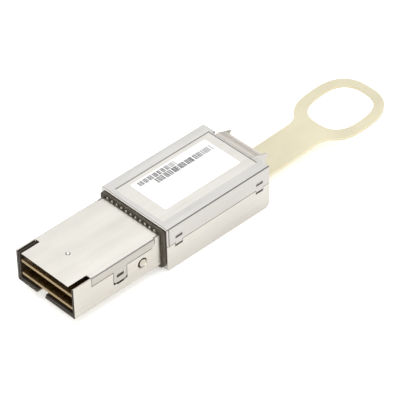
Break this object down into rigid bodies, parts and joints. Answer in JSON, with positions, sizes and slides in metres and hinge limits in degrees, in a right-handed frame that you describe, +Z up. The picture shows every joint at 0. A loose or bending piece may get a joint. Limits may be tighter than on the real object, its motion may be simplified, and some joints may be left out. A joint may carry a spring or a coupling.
{
  "type": "optical transceiver module",
  "caption": "Pluggable optical transceiver module: slim metal plug nose with paddle cards, EMI gasket, labelled rear body with fibre port, side latch teeth and a flat pull tab with a ring.",
  "frame": {"origin": "centre of the whole part's box in X and Y, at the plane that the rear body stands on", "axes": "+X along the part, from the plug nose to the pull tab; +Y to the plug's left as seen from behind the nose looking along +X; +Z up, away from the surface it lies on"},
  "size_m": [0.1194, 0.0252, 0.0139],
  "materials": {
    "nose_sheet": "satin stamped stainless sheet",
    "body_sheet": "satin stamped stainless sheet",
    "die_cast_zinc": "as-cast zinc alloy",
    "dark_plastic": "moulded liquid crystal polymer",
    "gasket_foam": "conductive fabric over foam",
    "retainer_sheet": "thin stamped sheet",
    "label_paper": "white polyester label",
    "circuit_board": "glass-epoxy laminate with gold contacts",
    "latch_steel": "stamped spring steel",
    "spring_steel": "drawn wire",
    "ivory_plastic": "translucent ivory thermoplastic, moulded",
    "rivet_steel": "turned steel",
    "shroud_sheet": "satin stamped sheet",
    "port_plastic": "moulded black thermoplastic",
    "ferrule_plastic": "glass-filled polyphenylene sulphide",
    "pin_steel": "ground stainless steel",
    "ribbon_acrylate": "acrylate coated fibre ribbon",
    "lens_polymer": "amber optical polymer",
    "chip_epoxy": "moulded epoxy package",
    "thermal_pad": "soft silicone gap pad"
  },
  "bodies": {
    "housing": {"nose_lower_shell": "nose_sheet", "nose_top_cover": "nose_sheet", "card_guide": "dark_plastic", "emi_gasket": "gasket_foam", "gasket_retainer": "retainer_sheet", "chassis_frame": "die_cast_zinc", "rear_lower_shell": "body_sheet", "rear_top_cover": "body_sheet", "label": "label_paper", "upper_paddle_card": "circuit_board", "lower_paddle_card": "circuit_board", "card_spacer": "dark_plastic", "return_spring_left": "spring_steel", "return_spring_right": "spring_steel", "port_shroud": "shroud_sheet", "port_housing": "port_plastic", "mt_ferrule": "ferrule_plastic", "guide_pin_left": "pin_steel", "guide_pin_right": "pin_steel", "tx_fibre_ribbon": "ribbon_acrylate", "rx_fibre_ribbon": "ribbon_acrylate", "tx_lens_block": "lens_polymer", "rx_lens_block": "lens_polymer", "tx_driver_chip": "chip_epoxy", "rx_receiver_chip": "chip_epoxy", "controller_chip": "chip_epoxy", "thermal_pad": "thermal_pad", "board_link": "dark_plastic"},
    "actuator": {"latch_yoke": "latch_steel", "pull_tab": "ivory_plastic", "strap_rivet_left": "rivet_steel", "strap_rivet_right": "rivet_steel"},
    "latch_left": {"latch_tooth_left": "latch_steel"},
    "latch_right": {"latch_tooth_right": "latch_steel"}
  },
  "joints": [
    {"name": "pull_slide", "type": "slide", "parent": "housing", "child": "actuator", "axis": [1, 0, 0], "range_m": [0, 0.003], "stiffness_N_per_m": 400, "springref_m": -0.004, "deforming": ["return_spring_left", "return_spring_right"]},
    {"name": "latch_left_slide", "type": "slide", "parent": "housing", "child": "latch_left", "axis": [0, -1, 0], "range_m": [0, 0.0009]},
    {"name": "latch_right_slide", "type": "slide", "parent": "housing", "child": "latch_right", "axis": [0, 1, 0], "range_m": [0, 0.0009]}
  ],
  "couplings": [
    {"joint": "latch_left_slide", "follows": "pull_slide", "ratio": 0.3},
    {"joint": "latch_right_slide", "follows": "pull_slide", "ratio": 0.3}
  ]
}
